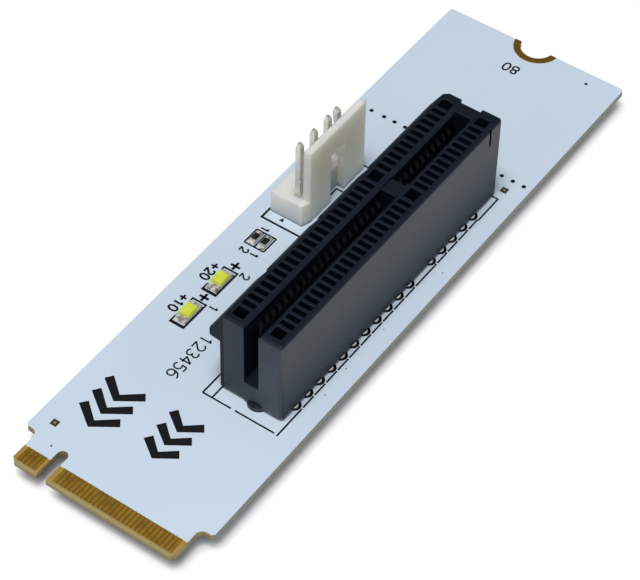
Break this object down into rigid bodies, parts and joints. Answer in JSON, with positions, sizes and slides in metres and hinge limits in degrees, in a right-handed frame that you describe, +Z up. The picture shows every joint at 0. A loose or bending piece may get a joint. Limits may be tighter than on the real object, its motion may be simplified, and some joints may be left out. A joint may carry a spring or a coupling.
{
  "type": "gumstick storage to expansion slot riser card",
  "caption": "Slim white circuit board with a gold-fingered tongue, long black card slot, white power header, small lamps and a screw notch; carries an expansion card on a storage socket.",
  "frame": {"origin": "on the plane that the soldered tails stand on, under the middle of the board", "axes": "+X from the plug-in tongue to the screw notch, +Y towards the power header's side, +Z up out of the board's populated face"},
  "size_m": [0.08, 0.023, 0.0133],
  "materials": {
    "solder_mask": "satin white solder mask over glass epoxy",
    "finger_gold": "satin gold plate",
    "pad_bronze": "dull bare plate",
    "slot_black": "fine matt moulding",
    "contact_gold": "satin",
    "solder": "smooth",
    "tin": "bright tin plate",
    "header_ivory": "satin moulding",
    "lamp_white": "matt",
    "lamp_yellow": "cloudy clear resin",
    "ceramic": "matt",
    "resistor_black": "smooth glaze"
  },
  "bodies": {
    "root": {"circuit_board": "solder_mask", "edge_fingers_top": "finger_gold", "edge_fingers_bottom": "finger_gold", "screw_pad": "pad_bronze", "test_pad_near": "finger_gold", "test_pad_far": "finger_gold", "slot_housing": "slot_black", "slot_contacts_left_outer": "contact_gold", "slot_contacts_left_inner": "contact_gold", "slot_contacts_right_outer": "contact_gold", "slot_contacts_right_inner": "contact_gold", "slot_solder_left": "solder", "slot_solder_right": "solder", "header_housing": "header_ivory", "header_pin_1": "tin", "header_pin_2": "tin", "header_pin_3": "tin", "header_pin_4": "tin", "header_solder": "solder", "lamp_1_base": "lamp_white", "lamp_1_lens": "lamp_yellow", "lamp_1_terminals": "tin", "lamp_2_base": "lamp_white", "lamp_2_lens": "lamp_yellow", "lamp_2_terminals": "tin", "lamp_solder": "solder", "resistor_1_body": "ceramic", "resistor_1_coat": "resistor_black", "resistor_1_terminals": "tin", "resistor_2_body": "ceramic", "resistor_2_coat": "resistor_black", "resistor_2_terminals": "tin", "resistor_solder": "solder"}
  },
  "joints": []
}
